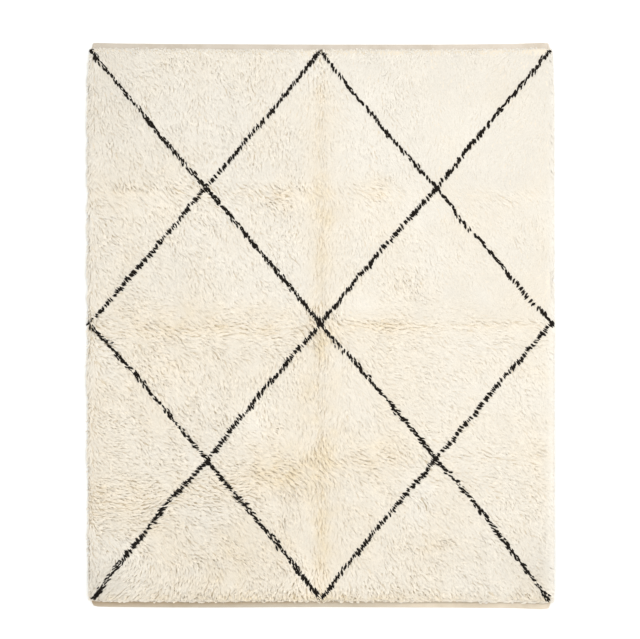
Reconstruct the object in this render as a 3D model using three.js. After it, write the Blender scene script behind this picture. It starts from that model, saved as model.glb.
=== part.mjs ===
// A hand-knotted wool pile rug, lying flat with its pile up.
//
// It is woven and knotted in one piece: a web of warps and wefts, rows of
// knots whose pile covers it, a short flatwoven band at each end, and sides
// where the pile hangs a little over the edge.  Nothing is sewn to it, so it
// is one closed solid.  The solid reaches as far as the tips of the pile do.
//
// Millimetres, +X across, +Y along the length, +Z up.  The origin is in the
// middle of the box around the rug, on the face it lies on.

import * as THREE from 'three';
import { mergeVertices } from 'three/addons/utils/BufferGeometryUtils.js';

// ---- driving sizes ---------------------------------------------------------

const WIDTH = 2500;        // widest, over the pile of both long sides
const LENGTH = 3030;       // longest, over both flatwoven bands
const WEB = 5;             // warps, wefts and the backs of the knots
const PILE_TOP = 29;       // tips of the pile above the floor, away from folds
const END_BAND = 31;       // flatwoven band at each end, without knots
const END_LEAN = 18;       // end rows of pile round over, up to full height
const SIDE_STEP = 10;      // upright part of a long side
const SIDE_ROLL = 30;      // inward run in which a side rounds to full pile
const CELL = 110;          // widest gap between two grid lines
const CORNER = 60;         // reach of the finer grid lines at the corners

// How far the long sides lie inside the widest line, on the way from the top
// end to the bottom end.  The corners draw in, as woven sides do near the ends.
const SIDES = [
  { fromTop: 0, left: 26, right: 21 },
  { fromTop: 8, left: 21, right: 17 },
  { fromTop: 40, left: 15, right: 11 },
  { fromTop: 95, left: 9, right: 8 },
  { fromTop: 175, left: 4, right: 5 },
  { fromTop: 280, left: 1, right: 3 },
  { fromTop: 850, left: 0, right: 3 },
  { fromTop: 1500, left: 0, right: 1 },
  { fromTop: 2180, left: 0, right: 1 },
  { fromTop: 2820, left: 2, right: 0 },
  { fromTop: 2920, left: 6, right: 2 },
  { fromTop: 2985, left: 12, right: 5 },
  { fromTop: 3012, left: 17, right: 11 },
  { fromTop: 3030, left: 27, right: 19 },
];

// How far the two ends lie inside the longest line, from left to right.
const ENDS = [
  { fromLeft: 0, top: 2, bottom: 22 },
  { fromLeft: 34, top: 1, bottom: 14 },
  { fromLeft: 100, top: 3, bottom: 12 },
  { fromLeft: 340, top: 6, bottom: 10 },
  { fromLeft: 610, top: 7, bottom: 9 },
  { fromLeft: 1250, top: 10, bottom: 11 },
  { fromLeft: 1890, top: 10, bottom: 9 },
  { fromLeft: 2310, top: 6, bottom: 6 },
  { fromLeft: 2450, top: 0, bottom: 0 },
  { fromLeft: 2500, top: 3, bottom: 5 },
];

// Creases left by folding the rug for storage: in half lengthways, then in
// four.  Each is a soft trough in the pile, "at" its middle line.
const FOLDS = [
  { runs: 'lengthways', at: 0, depth: 4.0, half: 62 },
  { runs: 'across', at: 728, depth: 2.5, half: 48 },
  { runs: 'across', at: 8, depth: 4.0, half: 66 },
  { runs: 'across', at: -716, depth: 3.5, half: 58 },
];

// Slow unevenness of hand-clipped pile.
const SWELL = [
  { overX: 1170, overY: 1900, height: 0.8, phase: 0.6 },
  { overX: -820, overY: 1040, height: 0.6, phase: 2.1 },
  { overX: 640, overY: -560, height: 0.4, phase: 4.4 },
];

// ---- working out the shape -------------------------------------------------

// Straight-line reading of one column of a table at a place along it.
function read(table, key, place, column) {
  const last = table.length - 1;
  if (place <= table[0][key]) return table[0][column];
  if (place >= table[last][key]) return table[last][column];
  const i = table.findIndex((row) => row[key] > place);
  const a = table[i - 1];
  const b = table[i];
  const t = (place - a[key]) / (b[key] - a[key]);
  return a[column] + (b[column] - a[column]) * t;
}

// Plan position of a grid point, from its distances from the left side and
// from the top end on an even rectangle.
function plan(fromLeft, fromTop) {
  const left = read(SIDES, 'fromTop', fromTop, 'left');
  const right = WIDTH - read(SIDES, 'fromTop', fromTop, 'right');
  const top = read(ENDS, 'fromLeft', fromLeft, 'top');
  const bottom = LENGTH - read(ENDS, 'fromLeft', fromLeft, 'bottom');
  return {
    x: left + (right - left) * (fromLeft / WIDTH) - WIDTH / 2,
    y: LENGTH / 2 - (top + (bottom - top) * (fromTop / LENGTH)),
  };
}

// A quarter round: 0 at the rim, 1 once "run" inside it.
function quarterRound(inside, run) {
  const t = Math.min(Math.max(inside / run, 0), 1);
  return Math.sqrt(1 - (1 - t) * (1 - t));
}

// Depth of one fold's trough at a distance from its middle line.
function trough(fold, off) {
  if (Math.abs(off) >= fold.half) return 0;
  return fold.depth * 0.5 * (1 + Math.cos((Math.PI * off) / fold.half));
}

// Height of the upper face.
function upperFace(fromLeft, fromTop) {
  const { x, y } = plan(fromLeft, fromTop);
  const inSide = Math.min(fromLeft, WIDTH - fromLeft);
  const inEnd = Math.min(fromTop, LENGTH - fromTop);
  let pile = PILE_TOP - WEB;
  for (const fold of FOLDS) {
    pile -= trough(fold, (fold.runs === 'lengthways' ? x : y) - fold.at);
  }
  for (const s of SWELL) {
    pile += s.height * Math.sin(2 * Math.PI * (x / s.overX + y / s.overY) + s.phase);
  }
  const step = (SIDE_STEP - WEB) / pile;
  const side = step + (1 - step) * quarterRound(inSide, SIDE_ROLL);
  const end = quarterRound(inEnd - END_BAND, END_LEAN);
  return WEB + pile * side * end;
}

// Grid lines over one span: the marks that matter, and even lines between.
function gridLines(span, marks) {
  const lines = [0, ...marks.filter((m) => m > 0 && m < span), span].sort((a, b) => a - b);
  const all = [];
  for (let i = 0; i < lines.length - 1; i += 1) {
    const gap = lines[i + 1] - lines[i];
    if (gap < 2) continue;
    const parts = Math.max(1, Math.ceil(gap / CELL));
    for (let k = 0; k < parts; k += 1) all.push(lines[i] + (gap * k) / parts);
  }
  all.push(span);
  return all;
}

const rimMarks = (run, from, span) =>
  [0.12, 0.4, 1].flatMap((t) => [from + run * t, span - from - run * t]);
const foldMarks = (runs, place) =>
  FOLDS.filter((f) => f.runs === runs).flatMap((f) =>
    [-1, -0.5, 0, 0.5, 1].map((t) => place(f.at + f.half * t)));

const nearCorner = (place, span) => place > 0 && place < span
  && Math.min(place, span - place) < CORNER;

const across = gridLines(WIDTH, [
  ...rimMarks(SIDE_ROLL, 0, WIDTH),
  ...ENDS.map((e) => e.fromLeft).filter((d) => nearCorner(d, WIDTH)),
  ...foldMarks('lengthways', (x) => x + WIDTH / 2),
]);
const along = gridLines(LENGTH, [
  ...rimMarks(END_LEAN, END_BAND, LENGTH),
  END_BAND, LENGTH - END_BAND,
  ...SIDES.map((s) => s.fromTop).filter((d) => nearCorner(d, LENGTH)),
  ...foldMarks('across', (y) => LENGTH / 2 - y),
]);

// ---- the solid -------------------------------------------------------------

// A box with one cell per pair of grid lines; its upper face is lifted to the
// pile and its sides are drawn to the outline.
function rugSolid() {
  const columns = across.length - 1;
  const rows = along.length - 1;
  let box = new THREE.BoxGeometry(1, 1, 1, columns, rows, 1);
  const at = box.getAttribute('position');
  for (let i = 0; i < at.count; i += 1) {
    const fromLeft = across[Math.round((at.getX(i) + 0.5) * columns)];
    const fromTop = along[Math.round((0.5 - at.getY(i)) * rows)];
    const { x, y } = plan(fromLeft, fromTop);
    const z = at.getZ(i) > 0 ? upperFace(fromLeft, fromTop) : 0;
    at.setXYZ(i, x, y, z);
  }
  box.deleteAttribute('normal');
  box.deleteAttribute('uv');
  box = mergeVertices(box, 1e-4);
  box.computeVertexNormals();
  return box;
}

const wool = new THREE.MeshStandardMaterial({
  color: 0xf2e9d8, roughness: 0.95, metalness: 0,
});

const rug = new THREE.Mesh(rugSolid(), wool);
rug.name = 'rug';

const model = new THREE.Group();
model.add(rug);

export default model;
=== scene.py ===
# A hand-knotted wool pile rug, cream with thin black lines crossing as a
# diamond lattice.  Metres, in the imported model's frame: +X across, +Y along
# the length, +Z up out of the pile.
#
# The web is one woven sheet with a flatwoven band at each end.  Every knot of
# the pile is a lock of yarn of its own, rooted on the knot grid and combed
# over in the direction in which the pile lies.  The grooves between combed
# locks, the creases of the folded rug and the ragged black lines all come
# from the locks.

import math

import bpy
import numpy as np
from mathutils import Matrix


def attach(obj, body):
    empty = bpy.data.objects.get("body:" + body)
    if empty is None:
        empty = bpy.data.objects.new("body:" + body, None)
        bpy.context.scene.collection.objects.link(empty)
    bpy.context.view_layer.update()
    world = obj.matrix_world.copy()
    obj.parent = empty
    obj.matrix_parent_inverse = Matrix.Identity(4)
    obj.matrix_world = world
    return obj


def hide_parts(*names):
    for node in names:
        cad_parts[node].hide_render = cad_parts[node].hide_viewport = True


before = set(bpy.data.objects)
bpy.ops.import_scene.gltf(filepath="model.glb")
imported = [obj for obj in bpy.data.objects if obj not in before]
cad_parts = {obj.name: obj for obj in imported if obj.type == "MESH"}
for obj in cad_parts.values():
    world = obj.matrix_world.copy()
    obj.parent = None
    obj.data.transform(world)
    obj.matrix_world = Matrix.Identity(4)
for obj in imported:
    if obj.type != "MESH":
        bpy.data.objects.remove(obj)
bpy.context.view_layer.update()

# ---- sizes ------------------------------------------------------------------

WIDTH, LENGTH = 2.500, 3.030      # over the pile and over both bands
WEB_TOP = 0.0045                  # warps, wefts and knot backs
PILE_TOP = 0.0285                 # tips of the pile above the floor
END_BAND = 0.031                  # flatwoven band at each end
SIDE_INSET = 0.011                # web's side inside the tips of the pile
CORD = 0.0085                     # thickness of the wrapped side cord
WARP, WEFT = 0.0050, 0.0022       # one warp to the next, and one weft

ROW_PITCH = 0.0163                # one knot row to the next
KNOT_PITCH = 0.0100               # one knot to the next along a row
CELL = 0.004                      # grid on which the combing is worked out

LOCK_LEAN = 0.0500                # how far a lock's tip lies from its root
BLACK_LEAN = 0.0420
EDGE_LEAN = 0.0120                # and beside the edge from which the pile lies away
LOCK_SEEN, BLACK_SEEN = 0.62, 0.51   # middle of the part that is seen, as a share of that
LOCK_WIDE = (0.0118, 0.0086)      # across: where the pile is smooth, and where open
LOCK_THICK = (0.0008, 0.0066)
LOCK_ROUND = (22, 75)             # degrees its two sides turn away: smooth, and open
BLACK_WIDE, BLACK_THICK = 0.0096, 0.0054
BLACK_APART = (0.0020, 0.0048)    # its two ends lie this far from the middle, smooth and open
BED = (0.800, 0.38)                # share of the pile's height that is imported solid
BED_CELL = 0.025
STAND_OPEN = 1.30                 # how open the whole pile stands

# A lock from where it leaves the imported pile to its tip: share of its lean,
# share of its height in smooth and in open pile, and how fat it is there.
SOFT_LOCK = [(0.08, 0.82, 0.36, 0.90), (0.58, 0.965, 0.93, 1.00), (1.00, 0.89, 0.88, 0)]
BLACK_LOCK = [(0.10, 0.50, 0.45, 0.80), (0.36, 0.96, 0.92, 1.10), (0.64, 1.05, 1.06, 1.12),
              (0.84, 1.02, 1.02, 0.80), (1.00, 0.94, 0.93, 0)]

# Distance of the long sides inside the widest line.
SIDES = dict(
    from_top=[0, .008, .040, .095, .175, .280, .850, 1.500, 2.180, 2.820,
              2.920, 2.985, 3.012, 3.030],
    left=[.026, .021, .015, .009, .004, .001, 0, 0, 0, .002, .006, .012,
          .017, .027],
    right=[.021, .017, .011, .008, .005, .003, .003, .001, .001, 0, .002,
           .005, .011, .019],
)
# Distance of the two ends inside the longest line.
ENDS = dict(
    from_left=[0, .034, .100, .340, .610, 1.250, 1.890, 2.310, 2.450, 2.500],
    top=[.002, .001, .003, .006, .007, .010, .010, .006, 0, .003],
    bottom=[.022, .014, .012, .010, .009, .011, .009, .006, 0, .005],
)

# The lattice: two lines from corner to corner, and a diamond between the
# middles of the four sides.  Points where lines end or cross, in metres.
POINTS = dict(
    top_left=(-1.2197, 1.4685), top_right=(1.2207, 1.4632),
    top=(0.000, 1.4712), left=(-1.2331, 0.0144), right=(1.2340, 0.0160),
    bottom=(0.001, -1.4600), centre=(0.001, 0.0128),
    bottom_left=(-1.2116, -1.4632), bottom_right=(1.2197, -1.4632),
    upper_left=(-0.6136, 0.7407), upper_right=(0.6173, 0.7412),
    lower_left=(-0.6109, -0.7214), lower_right=(0.6221, -0.7086),
)
# Each stretch between two points: how far its middle bows to the right, and
# how heavy the line is there.
LATTICE = [
    ("top_left", "upper_left", 0.0076, 0.95), ("upper_left", "centre", -0.0025, 0.95),
    ("centre", "lower_right", -0.0047, 0.97), ("lower_right", "bottom_right", -0.0088, 1.04),
    ("top_right", "upper_right", 0.0015, 1.04), ("upper_right", "centre", 0.0050, 1.03),
    ("centre", "lower_left", 0.0055, 0.95), ("lower_left", "bottom_left", 0.0170, 1.10),
    ("top", "upper_right", 0.0120, 0.90), ("upper_right", "right", 0.0067, 0.90),
    ("right", "lower_right", 0.0075, 0.92), ("lower_right", "bottom", 0.0105, 0.98),
    ("bottom", "lower_left", 0.0098, 1.05), ("lower_left", "left", 0.0109, 0.84),
    ("left", "upper_left", 0.0064, 0.90), ("upper_left", "top", 0.0067, 0.90),
]
LINE_KNOTS = (1.15, 1.60)         # black knots side by side in a row, on average: smooth, and open

# Broad strokes in which the pile lies.  Each row is a soft patch: its middle
# and reach in metres, the direction in degrees in which the tips point, and
# how much the patch counts.
COMBING = [
    # x,     y,    rx,   ry,  tips, weight
    (0.00, 0.00, 9.00, 9.00, 300, 0.10),
    (-1.05, 1.15, 0.30, 0.40, 300, 1.0),     # upper left
    (-1.00, 0.85, 0.35, 0.15, 310, 1.0),
    (-0.60, 1.10, 0.22, 0.50, 290, 1.0),
    (-0.30, 1.10, 0.20, 0.50, 276, 1.0),
    (0.25, 1.10, 0.20, 0.50, 272, 1.0),      # upper right
    (0.65, 1.05, 0.25, 0.50, 268, 1.0),
    (1.10, 1.05, 0.22, 0.60, 250, 1.0),
    (-0.35, 0.72, 0.25, 0.08, 318, 1.2),     # by the upper cross fold
    (0.33, 0.72, 0.12, 0.07, 325, 1.2),
    (-1.05, 0.40, 0.25, 0.30, 318, 1.0),     # between the cross folds
    (-0.60, 0.38, 0.22, 0.22, 292, 1.0),
    (-0.22, 0.38, 0.20, 0.25, 308, 1.0),
    (0.22, 0.42, 0.14, 0.25, 280, 1.0),
    (0.50, 0.45, 0.18, 0.22, 330, 0.8),
    (0.90, 0.42, 0.30, 0.25, 305, 0.8),
    (1.15, 0.12, 0.16, 0.20, 206, 1.8),      # right tip of the diamond
    (-1.00, -0.28, 0.25, 0.14, 325, 1.0),
    (-0.65, -0.28, 0.22, 0.16, 295, 1.0),
    (-0.28, -0.30, 0.16, 0.20, 290, 1.0),
    (0.20, -0.35, 0.14, 0.22, 295, 1.0),
    (0.60, -0.35, 0.25, 0.20, 335, 1.0),
    (1.05, -0.40, 0.22, 0.25, 312, 1.0),
    (-0.80, -0.60, 0.45, 0.10, 335, 1.0),
    (-0.95, -1.15, 0.30, 0.15, 335, 1.0),    # lower left
    (-0.40, -1.15, 0.25, 0.20, 318, 1.0),
    (0.30, -1.10, 0.20, 0.25, 295, 1.0),     # lower right
    (0.70, -1.10, 0.25, 0.25, 318, 1.0),
    (1.10, -1.10, 0.22, 0.30, 308, 1.0),
    (-1.10, -1.40, 0.22, 0.14, 228, 3.0),    # fans out at the bottom
    (-0.75, -1.42, 0.20, 0.10, 242, 2.0),
    (-0.25, -1.42, 0.20, 0.07, 262, 1.6),
    (0.20, -1.42, 0.20, 0.07, 282, 1.6),
    (0.60, -1.42, 0.25, 0.10, 305, 1.6),
    (1.10, -1.42, 0.25, 0.12, 315, 2.0),
]
# The folds divided the stored rug into panels, pressed by different amounts:
# how far the pile stands open in each, and how light and warm its wool is.
PANELS = [
    # left,  right,  top,  bottom, open, light, warm
    (-1.30, -0.60, 1.55, 0.76, 0.37, -0.03, 0.03),
    (-0.60, -0.085, 1.55, 0.76, 0.40, -0.02, 0.00),
    (0.110, 0.55, 1.55, 0.76, 0.25, -0.04, -0.02),
    (0.550, 1.30, 1.55, 0.76, 0.14, -0.06, 0.03),
    (-1.30, -0.60, 0.76, 0.00, 0.43, -0.01, 0.09),
    (-0.60, -0.085, 0.76, 0.00, 0.37, 0.02, 0.05),
    (0.110, 0.55, 0.76, 0.02, 0.29, 0.02, 0.08),
    (0.550, 1.30, 0.76, 0.02, 0.17, -0.02, 0.07),
    (-1.30, -0.60, 0.00, -0.75, 0.51, 0.03, 0.13),
    (-0.60, -0.085, 0.00, -0.75, 0.47, 0.02, 0.12),
    (0.110, 0.60, 0.02, -0.70, 0.36, 0.03, 0.13),
    (0.600, 1.30, 0.02, -0.70, 0.31, 0.01, 0.08),
    (-1.30, -0.60, -0.75, -1.55, 0.53, -0.01, 0.10),
    (-0.60, -0.085, -0.75, -1.55, 0.53, 0.00, 0.15),
    (0.110, 0.60, -0.70, -1.55, 0.43, 0.01, 0.13),
    (0.600, 1.30, -0.70, -1.55, 0.39, -0.01, 0.08),
    (-0.085, 0.00, 1.55, -1.55, 0.14, 0.00, 0.12),   # smooth beside the long fold
    (0.000, 0.110, 1.55, -1.55, 0.20, -0.02, 0.11),
]
# Where the pile stands more open, or less, than its panel.
OPENINGS = [
    # x,     y,      rx,   ry,   open
    (-0.95, 0.735, 0.28, 0.035, 0.08),
    (-0.30, 0.700, 0.22, 0.060, 0.24),
    (-0.146, 0.716, 0.05, 0.050, 0.39),
    (0.33, 0.735, 0.10, 0.090, 0.26),
    (1.04, 0.670, 0.16, 0.030, 0.15),
    (0.48, 0.210, 0.12, 0.100, 0.30),
    (0.265, 0.140, 0.07, 0.080, -0.17),
    (0.00, -0.020, 0.10, 0.100, 0.72),
    (0.25, -0.330, 0.14, 0.070, -0.17),
    (0.20, -0.720, 0.17, 0.060, 0.33),
    (0.45, -0.690, 0.10, 0.050, 0.22),
    (0.70, -1.170, 0.16, 0.030, 0.25),
    (0.03, -1.360, 0.11, 0.130, 0.12),
    (0.00, 1.370, 0.06, 0.090, 0.20),
    (-0.35, -0.840, 0.20, 0.050, 0.08),
    (0.36, 0.000, 0.20, 0.040, 0.16),
    (-0.36, -0.020, 0.18, 0.045, 0.28),
    (0.88, 0.010, 0.24, 0.035, -0.10),
    (0.85, -0.705, 0.28, 0.040, -0.10),
    (1.25, 0.000, 0.04, 2.000, -0.30),
    (-1.25, 0.000, 0.03, 2.000, 0.14),
    (0.00, -1.460, 3.00, 0.040, 0.46),
    (0.00, 1.460, 3.00, 0.030, 0.30),
]
# Folds of the stored rug.  The pile lies along them, pressed into a trough:
# from one point to another, how deep and half as wide the trough is, how far
# it turns the pile, the direction of the tips at both points, how open the
# pile is along it and within what reach, and how much the fold counts.
FOLDS = [
    # x1,    y1,     x2,    y2,   trough, half, reach, tips1, tips2, open, near, weight
    (0.00, 1.490, 0.00, 0.060, 0.0050, 0.045, 0.100, 271, 271, 0.30, 0.042, 6.0),
    (0.00, 0.060, 0.00, -1.470, 0.0050, 0.045, 0.100, 271, 271, 0.48, 0.042, 6.0),
    (-1.23, 0.728, -0.06, 0.728, 0.0030, 0.036, 0.070, 330, 325, 0.15, 0.030, 2.0),
    (0.06, 0.728, 1.23, 0.720, 0.0015, 0.036, 0.060, 335, 345, 0.00, 0.030, 1.5),
    (-1.23, -0.020, -0.04, -0.020, 0.0040, 0.050, 0.110, 338, 342, 0.28, 0.040, 3.0),
    (0.04, 0.000, 1.20, 0.010, 0.0040, 0.040, 0.100, 345, 350, 0.29, 0.028, 3.0),
    (-1.22, -0.985, -0.04, -0.800, 0.0035, 0.070, 0.130, 350, 345, 0.48, 0.100, 3.2),
    (0.06, -0.720, 1.22, -0.700, 0.0030, 0.045, 0.110, 335, 340, 0.22, 0.040, 2.2),
]


def plan(from_left, from_top):
    """Plan position of a point given on the even rectangle."""
    left = np.interp(from_top, SIDES["from_top"], SIDES["left"])
    right = WIDTH - np.interp(from_top, SIDES["from_top"], SIDES["right"])
    top = np.interp(from_left, ENDS["from_left"], ENDS["top"])
    bottom = LENGTH - np.interp(from_left, ENDS["from_left"], ENDS["bottom"])
    x = left + (right - left) * (from_left / WIDTH) - WIDTH / 2
    y = LENGTH / 2 - (top + (bottom - top) * (from_top / LENGTH))
    return x, y


# ---- fields over the rug ----------------------------------------------------

GX = np.arange(-1.32, 1.32 + CELL / 2, CELL)
GY = np.arange(-1.58, 1.58 + CELL / 2, CELL)
XX, YY = np.meshgrid(GX, GY)
FREQ = np.hypot(np.fft.fftfreq(len(GY), CELL)[:, None],
                np.fft.rfftfreq(len(GX), CELL)[None, :])


def blurred(field, sigma):
    """A grid field, softened over sigma metres."""
    soft = np.exp(-2 * (math.pi * sigma * FREQ) ** 2)
    return np.fft.irfft2(np.fft.rfft2(field) * soft, field.shape)


def unevenness(sigma, seed):
    """A smooth random field of mean 0 and spread 1."""
    f = blurred(np.random.default_rng(seed).standard_normal(XX.shape), sigma)
    return (f - f.mean()) / f.std()


def sample(field, x, y):
    """A grid field at any places, straight between grid points."""
    u = np.clip((x - GX[0]) / CELL, 0, len(GX) - 1.001)
    v = np.clip((y - GY[0]) / CELL, 0, len(GY) - 1.001)
    i, j = u.astype(int), v.astype(int)
    fu, fv = u - i, v - j
    return ((field[j, i] * (1 - fu) + field[j, i + 1] * fu) * (1 - fv)
            + (field[j + 1, i] * (1 - fu) + field[j + 1, i + 1] * fu) * fv)


def off_fold(x, y, x1, y1, x2, y2):
    """Distance from a fold, and how far along it a place is."""
    dx, dy = x2 - x1, y2 - y1
    t = np.clip(((x - x1) * dx + (y - y1) * dy) / (dx * dx + dy * dy), 0, 1)
    return np.hypot(x - x1 - t * dx, y - y1 - t * dy), t


def combed():
    """Direction in which the tips lie."""
    c = np.zeros_like(XX)
    s = c.copy()
    for x, y, rx, ry, tips, weight in COMBING:
        w = weight * np.exp(-((XX - x) / rx) ** 2 - ((YY - y) / ry) ** 2)
        a = math.radians(tips)
        c += w * math.cos(a)
        s += w * math.sin(a)
    for x1, y1, x2, y2, _, _, reach, tips1, tips2, _, _, weight in FOLDS:
        off, t = off_fold(XX, YY, x1, y1, x2, y2)
        w = weight * np.exp(-(off / reach) ** 2)
        a = np.radians(tips1 + (tips2 - tips1) * t)
        c += w * np.cos(a)
        s += w * np.sin(a)
    turn = np.arctan2(s, c)
    # beside the left edge the pile lies down the rug, beside the right one a little outwards
    side = np.exp(-((WIDTH / 2 - np.abs(XX)) / 0.042) ** 2)
    turn = turn + side * 0.9 * (np.radians(np.where(XX < 0, -88, -50)) - turn)
    return turn + np.radians(6) * unevenness(0.075, 3) + np.radians(11) * unevenness(0.024, 4)


def panels(column, soft=0.022):
    """A column of PANELS as a field, with soft bounds."""
    total, share = np.zeros_like(XX), np.zeros_like(XX)
    for row in PANELS:
        left, right, top, bottom = row[:4]
        w = 1 / ((1 + np.exp(-(XX - left) / soft)) * (1 + np.exp((XX - right) / soft))
                 * (1 + np.exp(-(YY - bottom) / soft)) * (1 + np.exp((YY - top) / soft)))
        total += w * row[column]
        share += w
    return total / (share + 1e-9)


def openness():
    """How open the pile stands: 0 smooth, 1 with deep grooves between locks."""
    d = panels(4)
    for x, y, rx, ry, more in OPENINGS:
        d += more * np.exp(-((XX - x) / rx) ** 2 - ((YY - y) / ry) ** 2)
    for x1, y1, x2, y2, _, _, _, _, _, more, near, _ in FOLDS:
        off, _ = off_fold(XX, YY, x1, y1, x2, y2)
        d += more * np.exp(-(off / near) ** 2)
    patchy = 0.21 * unevenness(0.018, 5) + 0.09 * unevenness(0.055, 6)
    return np.clip(STAND_OPEN * d * (1 + patchy), 0.04, 1.2)


def combed_grooves(turn, reach, seed):
    """Ridges and grooves that run along the combing: noise drawn out along it."""
    noise = blurred(np.random.default_rng(seed).standard_normal(XX.shape), 0.0028)
    total = noise.copy()
    for way in (1, -1):
        x, y = XX.copy(), YY.copy()
        for k in range(1, int(reach / CELL) + 1):
            a = sample(turn, x, y)
            x += way * CELL * np.cos(a)
            y += way * CELL * np.sin(a)
            total += sample(noise, x, y) * 0.5 * (1 + math.cos(math.pi * k * CELL / (reach + CELL)))
    total -= blurred(total, 0.008)
    return total / total.std()


def fold_trough(x, y):
    """How far the folds press the pile down."""
    down = 0.0
    for x1, y1, x2, y2, trough, half, *_ in FOLDS:
        off, _ = off_fold(x, y, x1, y1, x2, y2)
        down = np.maximum(down, trough * 0.5 * (1 + np.cos(np.pi * np.clip(off / half, 0, 1))))
    return down


TURN, DEPTH = combed(), openness()
SHORT = combed_grooves(TURN, 0.006, 11)
LONG = combed_grooves(TURN, 0.030, 12)
ALONG_FOLD = np.zeros_like(XX)
for x1, y1, x2, y2, _, half, *_ in FOLDS:
    ALONG_FOLD += np.exp(-(off_fold(XX, YY, x1, y1, x2, y2)[0] / (half * 1.1)) ** 2)
ALONG_FOLD = np.clip(ALONG_FOLD, 0, 1)
GROOVES = SHORT * (1 - ALONG_FOLD) + LONG * ALONG_FOLD
SLOPE_Y, SLOPE_X = np.gradient(blurred(GROOVES, 0.003), CELL)


# ---- knots ------------------------------------------------------------------

EDGE = np.array([-0.003, 0.002, 0.008, 0.015, 0.023, 0.032])   # closer set at the edges
rows = np.concatenate([END_BAND + EDGE, np.arange(END_BAND + 0.044, LENGTH - END_BAND - 0.003, ROW_PITCH)])
knots = np.concatenate([SIDE_INSET + EDGE[1:] - 0.001,
                        np.arange(SIDE_INSET + 0.041, WIDTH - SIDE_INSET - 0.035, KNOT_PITCH),
                        WIDTH - SIDE_INSET + 0.001 - EDGE[:0:-1]])
FL, FT = np.meshgrid(knots, rows)
KX, KY = plan(FL, FT)
FL, FT, KX, KY = (a.ravel() for a in (FL, FT, KX, KY))
COUNT = len(KX)
ROW_OF = np.repeat(np.arange(len(rows)), len(knots))


def pile_share(fl, ft):
    """Height of the pile near its edges, as a share of its full height."""
    side = np.clip(1 - (np.minimum(fl, WIDTH - fl) - SIDE_INSET) / 0.024, 0, 1)
    top = np.clip(1 - (ft - END_BAND + 0.003) / 0.034, 0, 1)
    bottom = np.clip(1 - (LENGTH - ft - END_BAND) / 0.012, 0, 1)
    return 1 - np.maximum(0.36 * side ** 2, np.maximum(0.80 * top ** 1.5, 0.25 * bottom ** 1.5))


def lean_share(fl, ft, turn):
    """Locks are short beside the edge from which they lie away."""
    c, s = np.cos(turn), np.sin(turn)
    back = np.minimum((np.where(c > 0, fl, WIDTH - fl) - SIDE_INSET) / np.maximum(np.abs(c), 0.15),
                      (np.where(s < 0, ft, LENGTH - ft) - END_BAND) / np.maximum(np.abs(s), 0.15))
    t = np.clip(back / 0.070, 0, 1)
    least = EDGE_LEAN / LOCK_LEAN
    return least + (1 - least) * t * (2 - t)


def is_black():
    """Knots of the lattice: in each row, the few nearest to each line."""
    a = sample(TURN, KX, KY)
    # the lines are seen where the locks lie, a little off the roots
    lean = BLACK_SEEN * BLACK_LEAN * lean_share(FL, FT, a)
    sx = KX + lean * np.cos(a)
    sy = KY + lean * np.sin(a)
    black = np.zeros(COUNT, bool)
    stands = np.clip(sample(DEPTH, sx, sy), 0, 1)
    wander = unevenness(0.04, 21)
    for start, end, bow, heavy in LATTICE:
        (x1, y1), (x2, y2) = POINTS[start], POINTS[end]
        t = np.clip((sy - y1) / (y2 - y1), 0, 1)
        ln = math.hypot(x2 - x1, y2 - y1)
        nx = (y2 - y1) / ln
        line = x1 + (x2 - x1) * t + bow * 4 * t * (1 - t) / nx
        line = line + 0.003 * sample(wander, line, sy)
        inside = (sy <= max(y1, y2) + 0.009) & (sy >= min(y1, y2) - 0.009)
        near = np.abs(sx - line) < 0.5 * heavy * KNOT_PITCH * (LINE_KNOTS[0] + (LINE_KNOTS[1] - LINE_KNOTS[0]) * stands)
        black |= inside & near
    return black


BLACK = is_black()


# ---- locks ------------------------------------------------------------------

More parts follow.
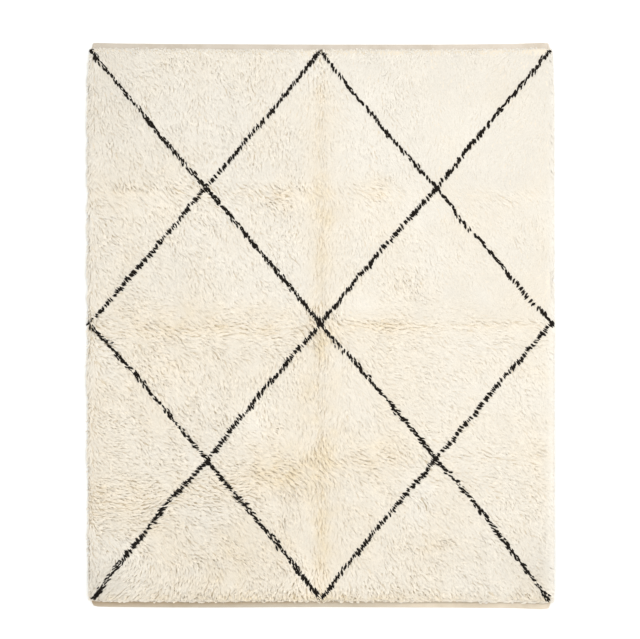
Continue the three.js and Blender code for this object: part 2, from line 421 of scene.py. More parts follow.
def locks(pick, name, rings, ends, lean, wide, thick_of, spread, gathers, tone, apart=None):
    """Makes the locks of the picked knots as one mesh."""
    n = int(pick.sum()) * ends
    x, y, fl, ft = (np.repeat(f[pick], ends) for f in (KX, KY, FL, FT))
    r = np.random.default_rng(sum(map(ord, name)) * 1000 + n)
    if ends > 1:
        beside = np.tile(np.linspace(-1, 1, ends), n // ends)
        if apart:
            # both ends lie side by side across the combing
            a = sample(TURN, x, y)
            off = beside * (apart[0] + (apart[1] - apart[0]) * np.clip(sample(DEPTH, x, y) / 0.6, 0, 1))
            x, y = x - off * np.sin(a), y + off * np.cos(a)
        else:
            x = x + 0.25 * KNOT_PITCH * beside
    x = x + spread * r.normal(0, 0.0012, n)
    y = y + spread * r.normal(0, 0.0032, n)
    side_in = np.minimum(fl, WIDTH - fl)
    side_way = np.where(fl < WIDTH / 2, -1.0, 1.0)
    end_in = np.minimum(ft, LENGTH - ft) - END_BAND
    end_way = np.where(ft < LENGTH / 2, 1.0, -1.0)
    at_top = ft < LENGTH / 2
    fold = sample(ALONG_FOLD, x, y)
    here = sample(DEPTH, x, y)
    loose = spread * (1 - 0.5 * fold) * np.clip(0.35 + 0.65 * here, 0, 1.2)
    turn = sample(TURN, x, y)
    lean = lean * lean_share(fl, ft, turn)
    turn = turn + loose * r.normal(0, math.radians(22), n)
    seen_x = x + LOCK_SEEN * lean * np.cos(turn)
    seen_y = y + LOCK_SEEN * lean * np.sin(turn)
    groove = sample(GROOVES, seen_x, seen_y)
    deep = sample(DEPTH, seen_x, seen_y)
    lean = lean * (1 - 0.20 * np.clip(deep, 0, 1)) * r.normal(1.0, 0.10, n)
    tip_x = lean * np.cos(turn)
    tip_y = lean * np.sin(turn)
    # neighbours gather on the ridges between the grooves
    gx, gy = sample(SLOPE_X, seen_x, seen_y), sample(SLOPE_Y, seen_x, seen_y)
    steep = np.hypot(gx, gy) + 1e-9
    gather = gathers * (0.0040 + 0.0016 * fold) * deep * np.minimum(steep / 120.0, 1.0) * np.minimum(lean / LOCK_LEAN, 1.0)
    tip_x += gather * gx / steep
    tip_y += gather * gy / steep
    inner = np.clip((side_in - SIDE_INSET - 0.010) / 0.03, 0, 1) * np.clip((end_in - 0.010) / 0.03, 0, 1)
    x = x + 0.5 * inner * gather * gx / steep
    y = y + 0.5 * inner * gather * gy / steep
    # towards the sides the tips reach out to the outline, and none goes past it
    over = np.clip(1 - (side_in - SIDE_INSET) / 0.034, 0, 1)
    tip_x = tip_x + side_way * over * (SIDE_INSET - 0.0015)
    past = side_way * tip_x - (side_in - 0.0015 + r.normal(0, 0.0010, n))
    tip_x -= side_way * np.maximum(past, 0)
    hang = np.where(at_top, 0.000, np.interp(fl, [1.2, 2.0], [-0.005, -0.010]))
    over_end = np.clip(1 - (end_in - 0.003) / 0.020, 0, 1) * np.where(at_top, 0.0, 1.0)
    tip_y = tip_y * (1 - 0.6 * over_end) + end_way * over_end * hang
    past_end = end_way * tip_y - (end_in + hang - 0.002 + r.normal(0, 0.0015, n))
    tip_y -= end_way * np.maximum(past_end, 0)
    height = PILE_TOP - WEB_TOP - fold_trough(x, y)
    height = height + 0.0026 * deep * np.clip(groove, -2, 1.2) - 0.0020
    height = height * pile_share(fl, ft)
    height = height * (1 + spread * (0.002 + 0.055 * deep) * r.standard_normal(n))

    reach = np.hypot(tip_x, tip_y) + 1e-6
    dx, dy = tip_x / reach, tip_y / reach
    curl = spread * loose * r.normal(0, 0.0030, n)
    grooved = np.clip(deep, 0, 1.25)
    width = wide[0] + (wide[1] - wide[0]) * np.clip(grooved, 0, 1)
    thick = thick_of[0] + (thick_of[1] - thick_of[0]) * np.clip(grooved, 0, 1)
    width = width * (0.8 + 0.2 * np.clip((side_in - SIDE_INSET) / 0.020, 0, 1))
    width, thick = width * r.normal(1.0, 0.12, n), thick * r.normal(1.0, 0.10, n)

    # the middle line, ring by ring
    line = []
    rise = bed_rise(fl, ft)
    for k, (out, smooth, rough, _) in enumerate(rings):
        if k == 0:
            out, smooth, rough = out * rise, smooth * rise, rough * rise
        bend = curl * np.sin(math.pi * np.minimum(out, 1))
        line.append((x + tip_x * out - dy * bend, y + tip_y * out + dx * bend,
                     WEB_TOP - 0.0012 + height * (smooth + (rough - smooth) * np.clip(grooved, 0, 1.1))
                     * (1 - 0.30 * over * out)))
    corners = [(0.0, 0.62), (-0.5, -0.38), (0.5, -0.38)]   # across, outwards
    ringed = len(rings) - 1
    per = ringed * len(corners) + 1
    co = np.zeros((n, per, 3))
    uv = np.zeros((n, per, 2))
    facing = np.zeros((n, per, 3))
    turned = np.radians(LOCK_ROUND[0] + (LOCK_ROUND[1] - LOCK_ROUND[0]) * np.clip(deep / 0.9, 0, 1))
    light, warm = tone(x, y, seen_x, seen_y, groove, deep, r)
    for i in range(ringed):
        (px, py, pz), (qx, qy, qz) = line[i], line[i + 1]
        ax, ay, az = line[max(i - 1, 0)]
        tx, ty, tz = qx - ax, qy - ay, qz - az
        tl = np.sqrt(tx ** 2 + ty ** 2 + tz ** 2) + 1e-9
        tx, ty, tz = tx / tl, ty / tl, tz / tl
        sx, sy = -dy, dx                                   # sideways, level
        # outwards: square to both, on the upper side
        nx, ny, nz = sy * tz, -sx * tz, sx * ty - sy * tx
        up = np.where(nz < 0, -1.0, 1.0)
        nx, ny, nz = nx * up, ny * up, nz * up
        fat = rings[i][3]
        for k, (a, b) in enumerate(corners):
            c = i * len(corners) + k
            w, h = width * fat * a, thick * fat * b
            co[:, c, 0] = px + sx * w + nx * h
            co[:, c, 1] = py + sy * w + ny * h
            co[:, c, 2] = pz + nz * h
            away = 2 * a * turned
            facing[:, c, 0] = nx * np.cos(away) + sx * np.sin(away)
            facing[:, c, 1] = ny * np.cos(away) + sy * np.sin(away)
            facing[:, c, 2] = nz * np.cos(away)
            uv[:, c, 0] = warm + a * LOCK_ON_MAP
            uv[:, c, 1] = light - ROOT_SHADE * (1 - rings[i][0])
    co[:, -1] = np.stack(line[-1], 1)
    down = 0.5 * turned
    facing[:, -1] = np.stack([nx * np.cos(down) + tx * np.sin(down), ny * np.cos(down) + ty * np.sin(down),
                              nz * np.cos(down) + tz * np.sin(down)], 1)
    uv[:, -1, 0] = warm
    uv[:, -1, 1] = light
    uv = np.clip(uv, 0.002, 0.998)
    co[:, :, 2] = np.maximum(co[:, :, 2], 0.0004)

    quads, tris = [], []
    for i in range(ringed - 1):
        for k in range(3):
            a, b = i * 3 + k, i * 3 + (k + 1) % 3
            quads.append((a, b, b + 3, a + 3))
    last = (ringed - 1) * 3
    for k in range(3):
        tris.append((last + k, last + (k + 1) % 3, per - 1))
    base = (np.arange(n) * per)[:, None, None]
    q = (np.array(quads)[None] + base).reshape(-1, 4)
    t3 = (np.array(tris)[None] + base).reshape(-1, 3)
    loops = np.concatenate([q.ravel(), t3.ravel()])
    starts = np.concatenate([np.arange(len(q)) * 4,
                             len(q) * 4 + np.arange(len(t3)) * 3])
    mesh = bpy.data.meshes.new(name)
    mesh.vertices.add(n * per)
    mesh.vertices.foreach_set("co", co.reshape(-1))
    mesh.loops.add(len(loops))
    mesh.loops.foreach_set("vertex_index", loops)
    mesh.polygons.add(len(starts))
    mesh.polygons.foreach_set("loop_start", starts)
    mesh.update(calc_edges=True)
    # the flat under sides meet the rounded upper ones at a sharp edge
    flat = np.concatenate([np.tile([k % 3 == 1 for k in range(len(quads))], n),
                           np.tile([False, True, False], n)])
    mesh.polygons.foreach_set("use_smooth", ~flat)

    # palette map: how warm the wool is across it, how light up it
    layer = mesh.uv_layers.new(name="OFBake")
    layer.data.foreach_set("uv", uv.reshape(-1, 2)[loops].ravel())
    mesh.validate()
    # the upper sides are rounded by how far they turn away; the under side is flat
    under = np.zeros((n, len(quads) * 4), bool)
    under[:, [4 * k + c for k in range(1, len(quads), 3) for c in range(4)]] = True
    under_tip = np.zeros((n, len(tris) * 3), bool)
    under_tip[:, 3:6] = True
    under = np.concatenate([under.ravel(), under_tip.ravel()])
    normal = facing.reshape(-1, 3)[loops]
    normal[under, 2] = -np.abs(normal[under, 2]) - 0.5
    normal /= np.linalg.norm(normal, axis=1)[:, None] + 1e-9
    mesh.attributes.new("custom_normal", "FLOAT_VECTOR", "CORNER").data.foreach_set("vector", normal.ravel())
    obj = bpy.data.objects.new(name, mesh)
    bpy.context.collection.objects.link(obj)
    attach(obj, "root")
    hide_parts("rug")
    return obj


def bed_rise(fl, ft):
    """0 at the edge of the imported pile, 1 where it has its full height."""
    rim = np.minimum(np.minimum(fl, WIDTH - fl) - SIDE_INSET - 0.004,
                     np.minimum(ft, LENGTH - ft) - END_BAND)
    t = np.clip(rim / 0.010, 0, 1)
    return t * (2 - t)


def pile_bed():
    """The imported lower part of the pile, out of which the locks come."""
    inset = SIDE_INSET + 0.004
    n = int((WIDTH - 2 * inset - 0.066) / BED_CELL)
    m = int((LENGTH - 2 * END_BAND - 0.066) / BED_CELL)
    edge = np.array([0, .005, .010, .016, .024])
    across = np.concatenate([edge, np.linspace(.033, WIDTH - 2 * inset - .033, n),
                             WIDTH - 2 * inset - edge[::-1]])
    along = np.concatenate([edge, np.linspace(.033, LENGTH - 2 * END_BAND - .033, m),
                            LENGTH - 2 * END_BAND - edge[::-1]])
    C, R = np.meshgrid(across, along)
    x, y = plan(inset + C, END_BAND + R)
    grooved = np.clip(sample(DEPTH, x, y), 0, 1.1)
    full = (BED[0] + (BED[1] - BED[0]) * grooved) * (PILE_TOP - WEB_TOP - fold_trough(x, y))
    rim = np.minimum(np.minimum(C, across[-1] - C), np.minimum(R, along[-1] - R))
    low_rim = 0.88 + 0.12 * np.clip(rim / 0.050, 0, 1)
    z = WEB_TOP + 0.0008 + full * low_rim * bed_rise(inset + C, END_BAND + R) * pile_share(inset + C, END_BAND + R)
    nr, nc = C.shape
    idx = np.arange(nr * nc).reshape(nr, nc)
    top = np.stack([x, y, z], -1).reshape(-1, 3)
    ring = np.concatenate([idx[0, :], idx[1:, -1], idx[-1, -2::-1], idx[-2:0:-1, 0]])
    low = top[ring].copy()
    low[:, 2] = WEB_TOP - 0.002
    quads = np.stack([idx[:-1, :-1], idx[1:, :-1], idx[1:, 1:], idx[:-1, 1:]], -1).reshape(-1, 4)
    faces = quads.tolist()
    k = len(ring)
    for i in range(k):
        faces.append([int(ring[(i + 1) % k]), int(ring[i]), nr * nc + i, nr * nc + (i + 1) % k])
    faces.append(list(range(nr * nc, nr * nc + k)))
    mesh = bpy.data.meshes.new("pile_bed")
    mesh.from_pydata(np.concatenate([top, low]).tolist(), [], faces)
    mesh.update()
    mesh.polygons.foreach_set("use_smooth", [True] * len(quads) + [False] * (len(faces) - len(quads)))
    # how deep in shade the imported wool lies, point by point
    shade = mesh.attributes.new("shade", "FLOAT", "POINT")
    deep = np.clip(sample(DEPTH, x, y), 0, 1.3).ravel()
    shade.data.foreach_set("value", np.concatenate([deep, deep[:k] * 0 + 1.0]))
    layer = mesh.uv_layers.new(name="OFBake")
    at = np.zeros(len(mesh.loops), int)
    mesh.loops.foreach_get("vertex_index", at)
    flat = np.concatenate([top, low])[at, :2] / LENGTH + 0.5
    layer.data.foreach_set("uv", flat.ravel())
    o = bpy.data.objects.new("pile_bed", mesh)
    bpy.context.collection.objects.link(o)
    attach(o, "root")
    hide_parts("rug")
    return o


LOCK_ON_MAP = 0.004               # width of one lock on the palette map
ROOT_SHADE = 0.134                # how much darker on the map a lock is at its root

# Where the wool has yellowed, where it is a little darker or lighter, and
# where light and shade are painted on it, as marked: soft patches, metres.
STAINS_AND_PAINTED_LIGHT = [
    # x,     y,    rx,   ry,  warm, light
    (0.00, 1.05, 0.070, 0.55, 0.10, 0.00),       # down the long fold, above
    # thin lines of painted shade down the crease of the long fold, above and below
    (0.00, 0.60, 0.028, 1.00, -0.01, -0.05),
    (0.00, -0.70, 0.028, 0.90, -0.01, -0.03),
    (0.01, 0.62, 0.065, 0.28, 0.12, 0.00),
    (0.08, 0.60, 0.070, 0.07, 0.18, -0.01),
    (-0.20, 0.71, 0.20, 0.085, 0.16, 0.04),     # by the upper cross fold
    (-0.14, 0.60, 0.07, 0.04, 0.07, -0.03),
    (0.29, 0.75, 0.14, 0.08, 0.18, -0.01),
    (0.00, 0.25, 0.065, 0.25, 0.12, 0.00),
    (-0.03, 0.02, 0.110, 0.075, 0.03, -0.08),    # the middle
    (0.012, -0.11, 0.036, 0.060, 0.26, -0.08),
    (-0.60, 0.030, 0.48, 0.100, 0.13, 0.01),    # along the middle cross fold
    (-0.18, 0.050, 0.16, 0.080, 0.12, 0.00),
    (0.30, 0.000, 0.22, 0.060, 0.09, 0.02),
    (0.90, 0.010, 0.35, 0.050, 0.07, 0.01),
    (-0.04, -0.38, 0.09, 0.20, 0.17, -0.01),
    (-0.14, -0.77, 0.17, 0.12, 0.18, -0.01),     # by the lower cross fold
    (-0.34, -0.80, 0.16, 0.09, 0.00, 0.03),
    (0.08, -0.66, 0.24, 0.11, 0.10, 0.03),
    (0.33, -0.72, 0.16, 0.12, 0.13, 0.02),
    (-0.70, -0.82, 0.42, 0.06, 0.07, 0.02),
    (-1.12, -0.88, 0.18, 0.12, 0.12, 0.00),
    (-0.95, -1.10, 0.18, 0.18, 0.08, -0.02),
    (-0.50, -1.20, 0.18, 0.14, 0.09, -0.03),
    (0.62, -1.18, 0.18, 0.08, 0.08, -0.01),
    (0.00, -1.20, 0.075, 0.30, 0.14, 0.00),
    (-0.75, -1.25, 0.60, 0.22, 0.04, -0.02),     # painted shade: the lower left is darker, away from the light
    (-1.15, 1.30, 0.22, 0.30, 0.00, -0.10),      # and so is the upper left corner
    (0.24, 0.95, 0.16, 0.45, -0.04, 0.06),       # light wool beside the fold
    (0.80, 0.95, 0.50, 0.60, -0.06, 0.03),
    (0.25, 0.12, 0.10, 0.05, -0.02, 0.08),
    (-0.33, -0.50, 0.13, 0.14, -0.03, 0.08),
    (0.07, -0.75, 0.050, 0.55, 0.12, 0.00),      # warm beside the lower fold
    (0.00, -1.00, 0.050, 0.50, 0.08, 0.00),
    (0.00, -1.470, 3.00, 0.028, 0.17, -0.08),    # the last rows, and the first
    (0.00, 1.464, 3.00, 0.026, -0.14, -0.04),
    (1.26, 0.00, 0.035, 3.00, -0.40, 0.28),      # painted highlight down the right side, where the pile rolls over towards the light
    (-1.12, 0.75, 0.14, 0.45, 0.08, 0.00),       # faint warm patches
    (-0.78, -0.20, 0.20, 0.14, 0.09, 0.00),
    (0.03, -0.95, 0.18, 0.14, 0.13, 0.00),
    (-0.62, -1.38, 0.16, 0.10, 0.12, 0.00),
    (1.12, -0.68, 0.16, 0.18, 0.09, 0.00),
    (0.88, 1.22, 0.18, 0.10, 0.12, 0.00),
    (1.18, 1.40, 0.14, 0.14, 0.00, -0.05),
    (1.12, -1.30, 0.24, 0.24, 0.00, -0.07),
    (-1.16, -1.40, 0.12, 0.12, 0.00, -0.24),
    (-0.20, -1.40, 0.10, 0.10, 0.00, -0.07),
    # painted shade down the left side, away from the light
    (-1.25, 0.00, 0.030, 3.00, -0.04, -0.06),
    (0.62, 0.22, 0.20, 0.10, 0.07, 0.00),
    (0.75, -0.22, 0.20, 0.10, 0.09, 0.00),
    (-0.95, -0.92, 0.30, 0.08, 0.00, 0.08),
    (-0.40, -0.84, 0.20, 0.08, 0.00, 0.04),
    (-0.40, -0.03, 0.20, 0.06, 0.00, 0.06),
    (-0.77, 0.65, 0.18, 0.14, 0.00, 0.11),       # lighter, and duller, areas
    (-0.85, -0.24, 0.12, 0.10, 0.00, 0.09),
    (-1.00, -1.22, 0.14, 0.12, -0.20, 0.13),
    (-0.06, -1.38, 0.11, 0.09, -0.10, 0.19),
    (0.70, 0.98, 0.20, 0.14, 0.00, 0.07),
    (-0.48, 0.60, 0.18, 0.12, -0.13, 0.00),
    (-0.40, -0.98, 0.14, 0.14, -0.11, 0.00),
    (0.54, -0.90, 0.11, 0.24, -0.10, 0.00),
    (0.54, 0.57, 0.12, 0.10, -0.10, 0.00),
    (0.31, 0.68, 0.14, 0.22, 0.10, 0.00),
    (-0.55, 0.08, 0.45, 0.08, 0.07, 0.00),
    (0.08, -0.24, 0.09, 0.10, 0.07, 0.00),
    (0.08, 0.00, 0.05, 0.50, 0.00, 0.05),
    (-0.04, 1.38, 0.12, 0.09, -0.22, 0.00),
    (1.15, -1.34, 0.12, 0.14, 0.05, -0.09),
    (-0.67, -0.62, 0.14, 0.12, -0.10, -0.04),
    (-0.85, 1.06, 0.11, 0.11, -0.11, 0.00),
]
MOTTLE = unevenness(0.030, 31)
MOTTLE_WIDE = unevenness(0.10, 32)
WARM_MOTTLE = unevenness(0.034, 34)
WARM_FLECKS = unevenness(0.018, 33)
PANEL_LIGHT, PANEL_WARM = panels(5, 0.02), panels(6, 0.03)


def stains_and_painted_light(x, y):
    warm, light = np.zeros_like(x), np.zeros_like(x)
    for sx, sy, rx, ry, w, l in STAINS_AND_PAINTED_LIGHT:
        near = np.exp(-((x - sx) / rx) ** 2 - ((y - sy) / ry) ** 2)
        warm += w * near
        light += l * near
    return warm, light


def cream_tone(x, y, seen_x, seen_y, groove, deep, r):
    """How light and how warm each lock of the cream wool is, on the palette."""
    warm, light = stains_and_painted_light(seen_x, seen_y)
    n = len(x)
    flecks = 1 + 0.28 * sample(WARM_FLECKS, seen_x, seen_y)
    fold = sample(ALONG_FOLD, x, y)
    warm = 0.24 + sample(PANEL_WARM, x, y) + 0.03 * sample(MOTTLE_WIDE, x, y) + 0.022 * sample(WARM_MOTTLE, x, y) + warm * np.clip(flecks, 0.1, 2.2)
    warm = warm + 0.03 * fold - 0.02 * groove * fold + (0.008 + 0.026 * np.clip(deep, 0, 1)) * r.standard_normal(n)
    # lighter where the pile stands open, painted light that offsets the shade between its open locks, and lighter
    # towards the right, painted light from the side the light comes from
    light = 0.62 + 0.44 * (np.clip(deep, 0, 1.1) - 0.3) + sample(PANEL_LIGHT, x, y) + light + 0.014 * sample(MOTTLE, x, y) + 0.02 * seen_x / 1.25
    light = light + (0.008 + 0.09 * deep) * r.standard_normal(n)
    # the palette map holds the lightnesses from 0.255 up, and the warmths up to 0.86
    # painted shade: a lock is darker where it lies low in a groove and lighter on a ridge
    return (light + 0.02 * deep * groove - 0.255) / 0.745, 1.16 * warm


def black_tone(x, y, seen_x, seen_y, groove, deep, r):
    n = len(x)
    return 0.5 + r.normal(0, 0.15, n), 0.5 + r.normal(0, 0.15, n)


# ---- materials --------------------------------------------------------------

def new_material(name):
    m = bpy.data.materials.new(name)
    m.use_nodes = True
    nt = m.node_tree
    nt.nodes.clear()
    out = nt.nodes.new("ShaderNodeOutputMaterial")
    p = nt.nodes.new("ShaderNodeBsdfPrincipled")
    nt.links.new(p.outputs[0], out.inputs[0])
    return m, nt, p


def ramp(nt, stops):
    r = nt.nodes.new("ShaderNodeValToRGB")
    e = r.color_ramp.elements
    while len(e) < len(stops):
        e.new(0.5)
    for i, (pos, col) in enumerate(stops):
        e[i].position = pos
        e[i].color = (*col, 1)
    return r


def wool(name, warm, light, fibre, sheen):
    """Yarn on the palette map: warmth across, lightness up, fine fibres along."""
    m, nt, p = new_material(name)
    uv = nt.nodes.new("ShaderNodeUVMap")
    uv.uv_map = "OFBake"
    part = nt.nodes.new("ShaderNodeSeparateXYZ")
    nt.links.new(uv.outputs[0], part.inputs[0])
    tone = ramp(nt, warm)
    nt.links.new(part.outputs[0], tone.inputs[0])
    level = ramp(nt, light)
    nt.links.new(part.outputs[1], level.inputs[0])
    # fibres: fine across the lock, long along it
    fine = nt.nodes.new("ShaderNodeVectorMath")
    fine.operation = "MULTIPLY"
    fine.inputs[1].default_value = (2400.0, 45.0, 1.0)
    nt.links.new(uv.outputs[0], fine.inputs[0])
    noise = nt.nodes.new("ShaderNodeTexNoise")
    noise.inputs["Scale"].default_value = 1.0
    noise.inputs["Detail"].default_value = 2.0
    noise.inputs["Roughness"].default_value = 0.6
    nt.links.new(fine.outputs[0], noise.inputs["Vector"])
    strands = ramp(nt, [(0.32, (1 - fibre,) * 3), (0.68, (1.0,) * 3)])
    nt.links.new(noise.outputs[0], strands.inputs[0])
    last = tone.outputs[0]
    for factor in (level.outputs[0], strands.outputs[0]):
        mix = nt.nodes.new("ShaderNodeMix")
        mix.data_type = "RGBA"
        mix.blend_type = "MULTIPLY"
        mix.inputs["Factor"].default_value = 1.0
        nt.links.new(last, mix.inputs["A"])
        nt.links.new(factor, mix.inputs["B"])
        last = mix.outputs["Result"]
    nt.links.new(last, p.inputs["Base Color"])
    bump = nt.nodes.new("ShaderNodeBump")
    bump.inputs["Strength"].default_value = 0.75
    bump.inputs["Distance"].default_value = 0.0016
    nt.links.new(noise.outputs[0], bump.inputs["Height"])
    nt.links.new(bump.outputs[0], p.inputs["Normal"])
    p.inputs["Roughness"].default_value = 0.9
    p.inputs["Specular IOR Level"].default_value = 0.2
    p.inputs["Sheen Weight"].default_value = sheen
    p.inputs["Sheen Roughness"].default_value = 0.5
    p.inputs["Sheen Tint"].default_value = (1.0, 0.96, 0.88, 1)
    return m


CREAM = wool("cream_wool", [
    (0.00, (0.945, 0.900, 0.822)), (0.29, (0.950, 0.894, 0.800)),
    (0.58, (0.950, 0.865, 0.730)), (0.87, (0.940, 0.827, 0.632)),
    (1.00, (0.926, 0.795, 0.570))],
    [(0.0, (0.740,) * 3), (1.0, (1.09,) * 3)], 0.12, 0.15)
DARK = wool("black_wool", [
    (0.0, (0.010, 0.008, 0.006)), (0.6, (0.014, 0.010, 0.007)),
    (1.0, (0.024, 0.018, 0.011))],
    [(0.0, (0.7,) * 3), (1.0, (1.3,) * 3)], 0.3, 0.03)


def packed_wool():
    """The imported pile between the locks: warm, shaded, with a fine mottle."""
    m, nt, p = new_material("packed_wool")
    tc = nt.nodes.new("ShaderNodeTexCoord")
    noise = nt.nodes.new("ShaderNodeTexNoise")
    noise.inputs["Scale"].default_value = 160.0
    noise.inputs["Detail"].default_value = 3.0
    nt.links.new(tc.outputs["Object"], noise.inputs["Vector"])
    col = ramp(nt, [(0.3, (0.96, 0.96, 0.96)), (0.7, (1.0, 1.0, 1.0))])
    nt.links.new(noise.outputs[0], col.inputs[0])
    shade = nt.nodes.new("ShaderNodeAttribute")
    shade.attribute_name = "shade"
    deep = ramp(nt, [(0.0, (0.84, 0.77, 0.665)), (0.5, (0.79, 0.705, 0.575)), (1.0, (0.67, 0.58, 0.44))])
    nt.links.new(shade.outputs["Fac"], deep.inputs[0])
    mix = nt.nodes.new("ShaderNodeMix")
    mix.data_type = "RGBA"
    mix.blend_type = "MULTIPLY"
    mix.inputs["Factor"].default_value = 1.0
    nt.links.new(deep.outputs[0], mix.inputs["A"])
    nt.links.new(col.outputs[0], mix.inputs["B"])
    nt.links.new(mix.outputs["Result"], p.inputs["Base Color"])
    p.inputs["Roughness"].default_value = 0.95
    p.inputs["Specular IOR Level"].default_value = 0.1
    return m


bed = pile_bed()
bed.data.materials.append(packed_wool())


def cream(pick, name, rings, ends, wide):
    o = locks(pick & ~BLACK, name, rings, ends, LOCK_LEAN, wide, LOCK_THICK, 1.0, 1.0, cream_tone)
    o.data.materials.append(CREAM)


PARTS = 5
for part in range(PARTS):
    here = ROW_OF * PARTS // len(rows) == part
    cream(here, f"pile_cream_{part + 1}", SOFT_LOCK, 2, LOCK_WIDE)
o = locks(BLACK, "pile_black", BLACK_LOCK, 2, BLACK_LEAN,
          (BLACK_WIDE,) * 2, (BLACK_THICK,) * 2, 0.45, 0.4, black_tone, BLACK_APART)
o.data.materials.append(DARK)


# ---- the web ----------------------------------------------------------------

def web():
    """The woven sheet: flatweave at the ends, a wrapped cord down each side."""
    span = WIDTH - 2 * SIDE_INSET
    cord = np.array([0, .0006, .002, .0042, .0064, .0082, .0096])
    cols = np.concatenate([cord, np.arange(0.0120, span - 0.0110, WARP / 2), span - cord[::-1]])
    band = np.concatenate([[0, .0005, .0016, .0035], np.arange(.0075, END_BAND + 0.004, 0.004)])
    lines = np.concatenate([band, [s for s in SIDES["from_top"] if 0.05 < s < LENGTH - 0.05],
                            LENGTH - band[::-1]])
    C, R = np.meshgrid(cols, lines)
    x, y = plan(SIDE_INSET + C, R)
    # bands run the full width, so their ends come out to the outline
    nrow, ncol = C.shape
    ii, jj = np.meshgrid(np.arange(ncol), np.arange(nrow))
    side = np.minimum(C, span - C)
    end = np.minimum(R, LENGTH - R)
    z = np.full_like(x, WEB_TOP)
    rib = np.where(ii % 2 == 0, 1.0, -1.0) * np.random.default_rng(5).uniform(0.5, 1.3, ncol)[None, :]
    z += 0.00045 * rib * (side > 0.011) * (end > 0.001)
    cord = np.clip(1 - ((side - 0.0045) / 0.0056) ** 2, 0, 1) ** 0.5
    z = np.maximum(z, 0.5 * CORD + 0.5 * CORD * cord * (side < 0.0101))
    z = np.where(side < 0.0001, 0.5 * CORD, z)
    z = np.where(end < 0.0001, 0.0022, z)
    z = np.where((end > 0.0001) & (end < 0.0007), 0.0040, z)
    verts = np.stack([x, y, z], -1).reshape(-1, 3)
    idx = np.arange(nrow * ncol).reshape(nrow, ncol)
    quads = np.stack([idx[:-1, :-1], idx[1:, :-1], idx[1:, 1:], idx[:-1, 1:]], -1).reshape(-1, 4)
    ring = np.concatenate([idx[0, :], idx[1:, -1], idx[-1, -2::-1], idx[-2:0:-1, 0]])
    low = verts[ring].copy()
    cx, cy = low[:, 0], low[:, 1]
    # the lower edge is rounded in by a millimetre
    low[:, 0] -= np.sign(cx) * 0.0010
    low[:, 1] -= np.sign(cy) * 0.0010
    low[:, 2] = 0.0
    n0 = len(verts)
    faces = [tuple(q) for q in quads]
    m = len(ring)
    for k in range(m):
        a, b = ring[k], ring[(k + 1) % m]
        faces.append((int(b), int(a), n0 + k, n0 + (k + 1) % m))
    faces.append(tuple(range(n0, n0 + m)))
    mesh = bpy.data.meshes.new("web")
    mesh.from_pydata(np.concatenate([verts, low]).tolist(), [], [tuple(int(v) for v in f) for f in faces])
    mesh.update()
    mesh.polygons.foreach_set("use_smooth", [True] * (len(faces) - 1) + [False])
    # painted shade on the bands: darker to the left, away from the light, and darkest at the lower end, in the shadow
    # under the tips
    lower = y < 0
    painted_shade = np.interp(x, [-1.25, 0.4, 1.25], [0.40, 0.20, 0.10]) + lower * np.interp(x, [-1.25, 0.0, 0.5, 1.25], [0.37, 0.16, -0.15, -0.12])
    middle, half = np.interp(x, [-0.2, 0.6], [0.029, 0.0325]), 0.0170 - 0.0085 * x
    shaded = np.clip(1 - np.abs(end - middle) / half, 0, 1)
    painted_shade = painted_shade + lower * np.interp(x, [-1.25, 0.0, 0.5, 1.25], [0.20, 0.46, 0.88, 0.90]) * shaded
    # and how yellow: towards the lower right
    yellow = lower * np.interp(x, [-1.0, 0.5], [0.35, 1.0])
    for name, value in (("painted_shade", painted_shade), ("yellow", yellow)):
        value = value.ravel()
        mesh.attributes.new(name, "FLOAT", "POINT").data.foreach_set("value", np.concatenate([value, value[ring]]))
    uvl = mesh.uv_layers.new(name="OFBake")
    pts = np.zeros(len(mesh.loops), int)
    mesh.loops.foreach_get("vertex_index", pts)
    allv = np.concatenate([verts, low])
    uvs = np.stack([(allv[pts, 0] / LENGTH) + 0.5, (allv[pts, 1] / LENGTH) + 0.5], 1)
    uvl.data.foreach_set("uv", uvs.ravel())
    o = bpy.data.objects.new("web", mesh)
    bpy.context.collection.objects.link(o)
    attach(o, "root")
    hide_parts("rug")
    return o


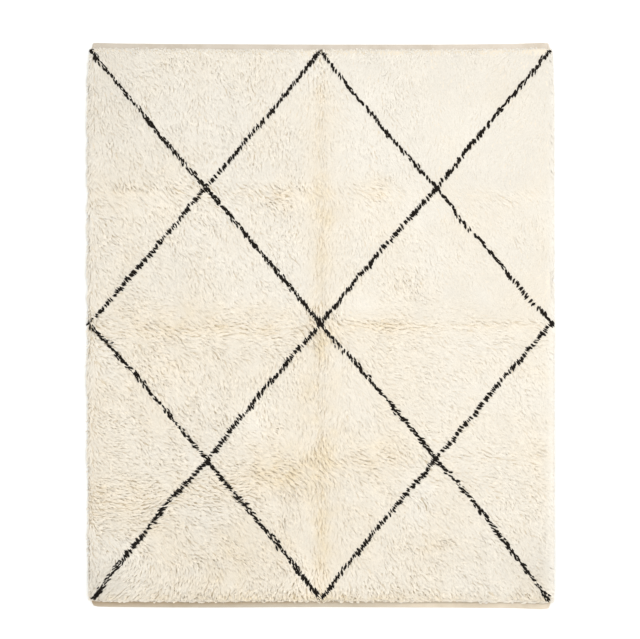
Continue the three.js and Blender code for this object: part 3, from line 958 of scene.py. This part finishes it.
def flatweave():
    m, nt, p = new_material("flatweave_wool")
    tc = nt.nodes.new("ShaderNodeTexCoord")
    noise = nt.nodes.new("ShaderNodeTexNoise")
    noise.inputs["Scale"].default_value = 9.0
    noise.inputs["Detail"].default_value = 6.0
    nt.links.new(tc.outputs["Object"], noise.inputs["Vector"])
    col = ramp(nt, [(0.30, (0.69, 0.605, 0.51)), (0.50, (0.77, 0.69, 0.605)), (0.70, (0.81, 0.73, 0.65))])
    nt.links.new(noise.outputs[0], col.inputs[0])
    # painted shade on the bands: darker to the left, away from the light, and darkest in the shadow under the tips at
    # the lower end
    painted_shade = nt.nodes.new("ShaderNodeAttribute")
    painted_shade.attribute_name = "painted_shade"
    shade_ramp = ramp(nt, [(0.0, (1.0, 1.0, 1.0)), (0.2, (0.858, 0.858, 0.851)), (0.5, (0.782, 0.782, 0.764)),
                     (0.75, (0.718, 0.677, 0.609)), (1.0, (0.564, 0.482, 0.373))])
    nt.links.new(painted_shade.outputs["Fac"], shade_ramp.inputs[0])
    mix = nt.nodes.new("ShaderNodeMix")
    mix.data_type = "RGBA"
    mix.blend_type = "MULTIPLY"
    mix.inputs["Factor"].default_value = 1.0
    nt.links.new(col.outputs[0], mix.inputs["A"])
    nt.links.new(shade_ramp.outputs[0], mix.inputs["B"])
    yellow = nt.nodes.new("ShaderNodeAttribute")
    yellow.attribute_name = "yellow"
    tint = ramp(nt, [(0.0, (1.0, 1.0, 1.0)), (1.0, (1.0, 0.975, 0.91))])
    nt.links.new(yellow.outputs["Fac"], tint.inputs[0])
    both = nt.nodes.new("ShaderNodeMix")
    both.data_type = "RGBA"
    both.blend_type = "MULTIPLY"
    both.inputs["Factor"].default_value = 1.0
    nt.links.new(mix.outputs["Result"], both.inputs["A"])
    nt.links.new(tint.outputs[0], both.inputs["B"])
    # wefts, packed down over the warps
    wefts = nt.nodes.new("ShaderNodeTexWave")
    wefts.bands_direction = "Y"
    wefts.inputs["Scale"].default_value = 2 * math.pi / (20 * WEFT)
    wefts.inputs["Distortion"].default_value = 2.5
    wefts.inputs["Detail"].default_value = 2.0
    wefts.inputs["Detail Scale"].default_value = 0.4
    nt.links.new(tc.outputs["Object"], wefts.inputs["Vector"])
    strands = ramp(nt, [(0.0, (0.95, 0.94, 0.915)), (0.45, (1.05, 1.05, 1.045)), (1.0, (1.10, 1.10, 1.09))])
    nt.links.new(wefts.outputs["Fac"], strands.inputs[0])
    woven = nt.nodes.new("ShaderNodeMix")
    woven.data_type = "RGBA"
    woven.blend_type = "MULTIPLY"
    woven.inputs["Factor"].default_value = 1.0
    nt.links.new(both.outputs["Result"], woven.inputs["A"])
    nt.links.new(strands.outputs[0], woven.inputs["B"])
    nt.links.new(woven.outputs["Result"], p.inputs["Base Color"])
    bump = nt.nodes.new("ShaderNodeBump")
    bump.inputs["Strength"].default_value = 0.8
    bump.inputs["Distance"].default_value = 0.0007
    nt.links.new(wefts.outputs["Fac"], bump.inputs["Height"])
    nt.links.new(bump.outputs[0], p.inputs["Normal"])
    p.inputs["Roughness"].default_value = 0.92
    p.inputs["Specular IOR Level"].default_value = 0.2
    return m


web_piece = web()
web_piece.data.materials.append(flatweave())


# ---- floor, light, camera ----------------------------------------------------

def plane(name, size, z):
    mesh = bpy.data.meshes.new(name)
    h = size / 2
    mesh.from_pydata([(-h, -h, z), (h, -h, z), (h, h, z), (-h, h, z)], [], [(0, 1, 2, 3)])
    o = bpy.data.objects.new(name, mesh)
    bpy.context.collection.objects.link(o)
    return o


floor = plane("floor", 120.0, -0.0004)
m, nt, p = new_material("floor_paint")
p.inputs["Base Color"].default_value = (0.97, 0.97, 0.955, 1)
p.inputs["Roughness"].default_value = 1.0
p.inputs["Specular IOR Level"].default_value = 0.0
floor.data.materials.append(m)

world = bpy.data.worlds.new("studio")
bpy.context.scene.world = world
world.use_nodes = True
world.node_tree.nodes["Background"].inputs[0].default_value = (1.0, 1.0, 0.985, 1)
world.node_tree.nodes["Background"].inputs[1].default_value = 1.140

key = bpy.data.lights.new("key", "AREA")
key.shape = "RECTANGLE"
key.size, key.size_y = 2.6, 3.4
key.energy = 50
key.color = (1.0, 0.985, 0.95)
key_obj = bpy.data.objects.new("key", key)
bpy.context.collection.objects.link(key_obj)
key_obj.location = (2.9, 1.4, 5.0)
key_obj.rotation_euler = (0, math.radians(12), 0)

FRAME_WIDE = 640 * 0.00534          # metres across the picture
cam = bpy.data.cameras.new("camera")
cam.lens, cam.sensor_width, cam.sensor_fit = 100.0, 36.0, "HORIZONTAL"
cam_obj = bpy.data.objects.new("camera", cam)
bpy.context.collection.objects.link(cam_obj)
cam_obj.location = (-0.0021, 0.0347, FRAME_WIDE * cam.lens / cam.sensor_width + 0.02)
cam_obj.rotation_euler = (0, 0, 0)
cam.clip_start, cam.clip_end = 0.1, 200.0
bpy.context.scene.camera = cam_obj
bpy.context.scene.view_settings.view_transform = "Standard"
